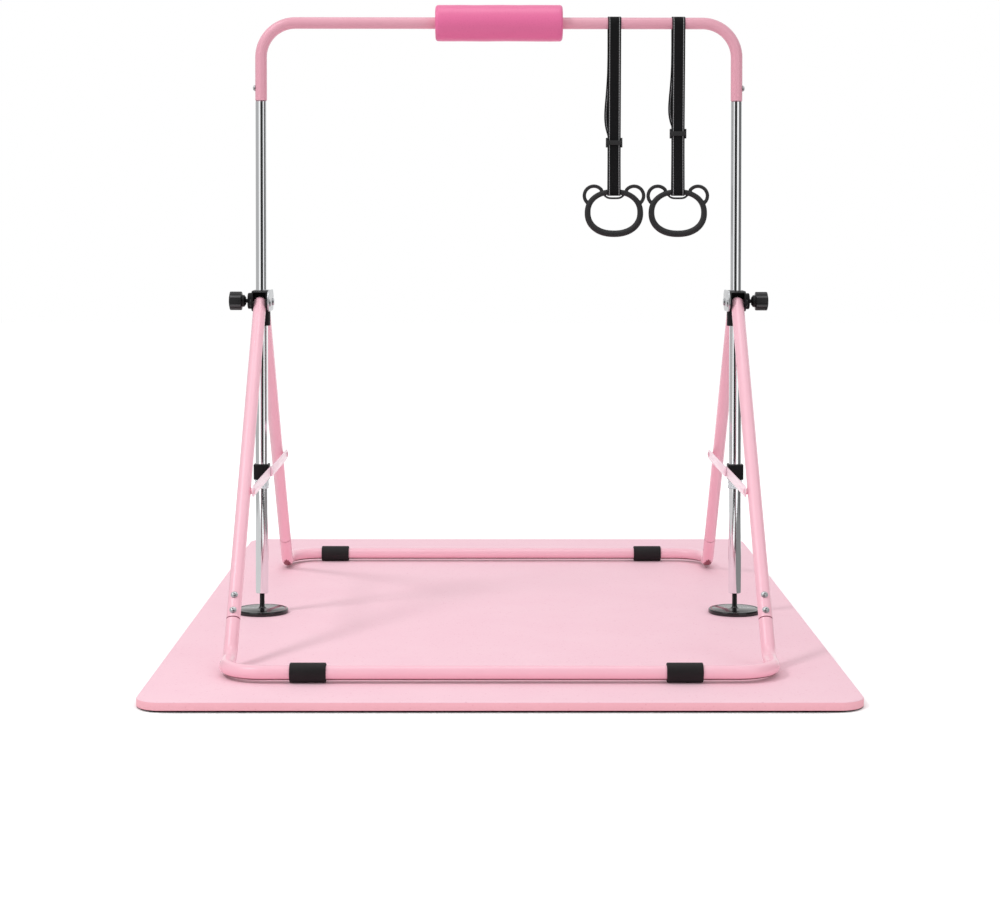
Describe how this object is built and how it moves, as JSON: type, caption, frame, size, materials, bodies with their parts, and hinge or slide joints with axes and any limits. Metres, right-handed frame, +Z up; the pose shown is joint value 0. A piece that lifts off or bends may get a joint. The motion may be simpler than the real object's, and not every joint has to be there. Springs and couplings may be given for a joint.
{
  "type": "kip bar",
  "caption": "Folding kip bar for children: padded telescopic top bar on hinged A-frame legs over a floor mat, with strap-hung grip rings.",
  "frame": {"origin": "centre of the mat's underside", "axes": "+Z up, -Y towards the front base, +X to the side that carries the rings"},
  "size_m": [1.2, 1.8, 1.2255],
  "materials": {
    "mat_foam": "matte closed-cell foam",
    "bar_paint": "satin powder coat",
    "leg_paint": "satin powder coat",
    "chrome": "bright plated steel",
    "zinc": "zinc plated",
    "black_plastic": "fine moulded texture",
    "clear_plastic": "clear moulded",
    "rubber": "matte moulded",
    "foam": "matte skinned foam",
    "webbing": "woven polyester"
  },
  "bodies": {
    "floor_mat": {"mat": "mat_foam"},
    "frame": {"lower_tube_left": "chrome", "lower_tube_right": "chrome", "foot_nut_left": "zinc", "foot_nut_right": "zinc", "stop_collar_left": "clear_plastic", "stop_collar_right": "clear_plastic", "hinge_bracket_left": "black_plastic", "hinge_bracket_right": "black_plastic", "hinge_plate_left": "zinc", "hinge_plate_right": "zinc", "hinge_pin_front_left": "zinc", "hinge_pin_front_right": "zinc", "hinge_pin_rear_left": "zinc", "hinge_pin_rear_right": "zinc"},
    "collars": {"collar_left": "black_plastic", "collar_right": "black_plastic"},
    "bar": {"top_bar": "bar_paint", "foam_pad": "foam", "upper_tube_left": "chrome", "upper_tube_right": "chrome", "top_screw_left": "zinc", "top_screw_right": "zinc"},
    "front_legs": {"front_base": "leg_paint", "front_leg_left": "leg_paint", "front_leg_right": "leg_paint", "front_screw_lower_left": "zinc", "front_screw_lower_right": "zinc", "front_screw_upper_left": "zinc", "front_screw_upper_right": "zinc", "front_sleeve_left": "rubber", "front_sleeve_right": "rubber", "link_pin_front_left": "zinc", "link_pin_front_right": "zinc"},
    "front_links": {"front_link_left": "leg_paint", "front_link_right": "leg_paint"},
    "rear_legs": {"rear_base": "leg_paint", "rear_leg_left": "leg_paint", "rear_leg_right": "leg_paint", "rear_screw_lower_left": "zinc", "rear_screw_lower_right": "zinc", "rear_screw_upper_left": "zinc", "rear_screw_upper_right": "zinc", "rear_sleeve_left": "rubber", "rear_sleeve_right": "rubber", "link_pin_rear_left": "zinc", "link_pin_rear_right": "zinc"},
    "rear_links": {"rear_link_left": "leg_paint", "rear_link_right": "leg_paint"},
    "left_knob": {"knob_left": "black_plastic"},
    "left_foot": {"foot_left": "black_plastic"},
    "left_strap": {"strap_left": "webbing"},
    "left_buckle": {"buckle_left": "black_plastic"},
    "left_ring": {"ring_left": "black_plastic"},
    "right_knob": {"knob_right": "black_plastic"},
    "right_foot": {"foot_right": "black_plastic"},
    "right_strap": {"strap_right": "webbing"},
    "right_buckle": {"buckle_right": "black_plastic"},
    "right_ring": {"ring_right": "black_plastic"}
  },
  "joints": [
    {"name": "frame_lift", "type": "slide", "parent": "floor_mat", "child": "frame", "axis": [0, 0, 1], "range_m": [0, 0.44]},
    {"name": "front_fold", "type": "hinge", "parent": "frame", "child": "front_legs", "pos_m": [0, -0.125, 0.635], "axis": [1, 0, 0], "range_deg": [0, 36]},
    {"name": "front_link_swing", "type": "hinge", "parent": "front_legs", "child": "front_links", "pos_m": [0, -0.41114, 0.2977], "axis": [1, 0, 0], "range_deg": [0, 42.46]},
    {"name": "rear_fold", "type": "hinge", "parent": "frame", "child": "rear_legs", "pos_m": [0, -0.065, 0.635], "axis": [-1, 0, 0], "range_deg": [0, 36]},
    {"name": "rear_link_swing", "type": "hinge", "parent": "rear_legs", "child": "rear_links", "pos_m": [0, 0.22114, 0.2977], "axis": [-1, 0, 0], "range_deg": [0, 42.46]},
    {"name": "collar_slide", "type": "slide", "parent": "frame", "child": "collars", "axis": [0, 0, 1], "range_m": [0, 0.206]},
    {"name": "bar_height", "type": "slide", "parent": "frame", "child": "bar", "axis": [0, 0, 1], "range_m": [-0.36, 0]},
    {"name": "left_knob_turn", "type": "hinge", "parent": "frame", "child": "left_knob", "pos_m": [-0.51, -0.095, 0.638], "axis": [-1, 0, 0], "range_deg": [0, 540]},
    {"name": "left_foot_screw", "type": "slide", "parent": "frame", "child": "left_foot", "axis": [0, 0, 1], "range_m": [0, 0.015]},
    {"name": "right_knob_turn", "type": "hinge", "parent": "frame", "child": "right_knob", "pos_m": [0.51, -0.095, 0.638], "axis": [1, 0, 0], "range_deg": [0, 540]},
    {"name": "right_foot_screw", "type": "slide", "parent": "frame", "child": "right_foot", "axis": [0, 0, 1], "range_m": [0, 0.015]},
    {"name": "left_strap_swing", "type": "hinge", "parent": "bar", "child": "left_strap", "pos_m": [0.229, -0.095, 1.1895], "axis": [1, 0, 0], "range_deg": [-80, 80]},
    {"name": "left_ring_tilt", "type": "hinge", "parent": "left_strap", "child": "left_ring", "pos_m": [0.229, -0.095, 0.8556], "axis": [1, 0, 0], "range_deg": [-75, 75]},
    {"name": "left_buckle_slide", "type": "slide", "parent": "left_strap", "child": "left_buckle", "axis": [0, 0, 1], "range_m": [-0.03, 0]},
    {"name": "right_strap_swing", "type": "hinge", "parent": "bar", "child": "right_strap", "pos_m": [0.356, -0.095, 1.1895], "axis": [1, 0, 0], "range_deg": [-80, 80]},
    {"name": "right_ring_tilt", "type": "hinge", "parent": "right_strap", "child": "right_ring", "pos_m": [0.356, -0.095, 0.8556], "axis": [1, 0, 0], "range_deg": [-75, 75]},
    {"name": "right_buckle_slide", "type": "slide", "parent": "right_strap", "child": "right_buckle", "axis": [0, 0, 1], "range_m": [-0.03, 0]}
  ],
  "couplings": [
    {"joint": "front_fold", "follows": "frame_lift", "rad_per_m": 1.428},
    {"joint": "front_link_swing", "follows": "frame_lift", "rad_per_m": 1.6842},
    {"joint": "rear_fold", "follows": "frame_lift", "rad_per_m": 1.428},
    {"joint": "rear_link_swing", "follows": "frame_lift", "rad_per_m": 1.6842},
    {"joint": "collar_slide", "follows": "frame_lift", "ratio": 0.46817}
  ]
}
